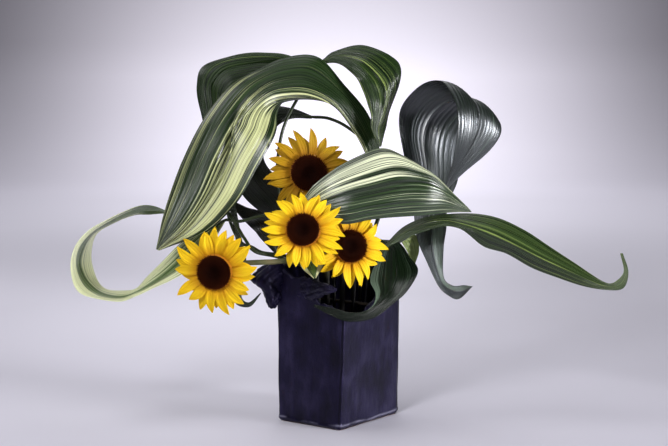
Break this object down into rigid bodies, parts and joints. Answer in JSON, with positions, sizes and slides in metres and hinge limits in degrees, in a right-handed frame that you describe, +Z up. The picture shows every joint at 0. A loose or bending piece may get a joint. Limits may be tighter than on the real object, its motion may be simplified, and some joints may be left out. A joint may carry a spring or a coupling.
{
  "type": "ikebana arrangement",
  "caption": "Ikebana arrangement of sunflowers and curled, variegated aspidistra leaves in a tall dark slab-built vase with a torn rim.",
  "frame": {"origin": "middle of the vase's foot, on the surface that it stands on", "axes": "+Z up; the arrangement is looked at along +Y, so its front faces -Y; +X to the viewer's right, along its widest spread"},
  "size_m": [0.8117, 0.2341, 0.5531],
  "materials": {
    "vase_glaze": "near-black navy glaze, satin",
    "water": "clear",
    "twig": "bark",
    "leaf": "satin, green with cream and pale green stripes",
    "flower_stem": "matte green",
    "petal": "matte yellow",
    "flower_disc": "matte dark brown"
  },
  "bodies": {
    "root": {"vase": "vase_glaze", "water": "water", "crossbar": "twig", "leaf_arch": "leaf", "leaf_back": "leaf", "leaf_top": "leaf", "leaf_thin": "leaf", "leaf_front": "leaf", "leaf_left_loop": "leaf", "leaf_right_loop": "leaf", "leaf_reach": "leaf", "leaf_bowl": "leaf", "leaf_small": "leaf", "leaf_pale": "leaf", "leaf_dark": "leaf", "leaf_tail": "leaf", "flower_1_stem": "flower_stem", "flower_1_petals": "petal", "flower_1_disc": "flower_disc", "flower_2_stem": "flower_stem", "flower_2_petals": "petal", "flower_2_disc": "flower_disc", "flower_3_stem": "flower_stem", "flower_3_petals": "petal", "flower_3_disc": "flower_disc", "flower_4_stem": "flower_stem", "flower_4_petals": "petal", "flower_4_disc": "flower_disc"}
  },
  "joints": []
}
